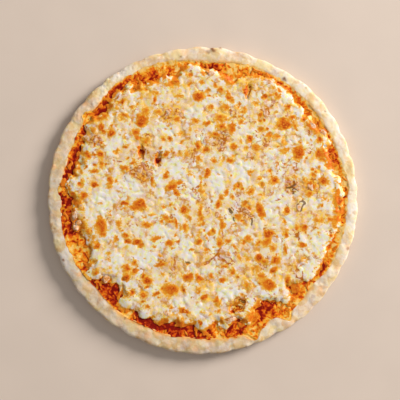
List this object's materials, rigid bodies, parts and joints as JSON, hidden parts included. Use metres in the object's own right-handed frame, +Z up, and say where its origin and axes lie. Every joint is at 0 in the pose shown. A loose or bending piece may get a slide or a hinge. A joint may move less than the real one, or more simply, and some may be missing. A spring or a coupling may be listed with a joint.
{
  "type": "smoked turkey pizza",
  "caption": "Whole round thin-crust pizza with a crimped raised rim, a thin layer of tomato sauce, and melted, browned cheese over small turkey pieces.",
  "frame": {"origin": "on the flat underside, at the centre of the outline's bounding box", "axes": "+Z up through the pizza, +X to the picture's right, +Y to the picture's top"},
  "size_m": [0.3064, 0.3042, 0.0141],
  "materials": {
    "crust": "pale baked dough, dry, with flour and a few toasted spots",
    "sauce": "rough, oily tomato sauce",
    "cheese": "melted white cheese with browned blisters and a soft oily sheen",
    "turkey": "pale pink-beige smoked meat, stained by oil"
  },
  "bodies": {
    "root": {"crust": "crust", "tomato_sauce": "sauce", "melted_cheese": "cheese"}
  },
  "joints": []
}
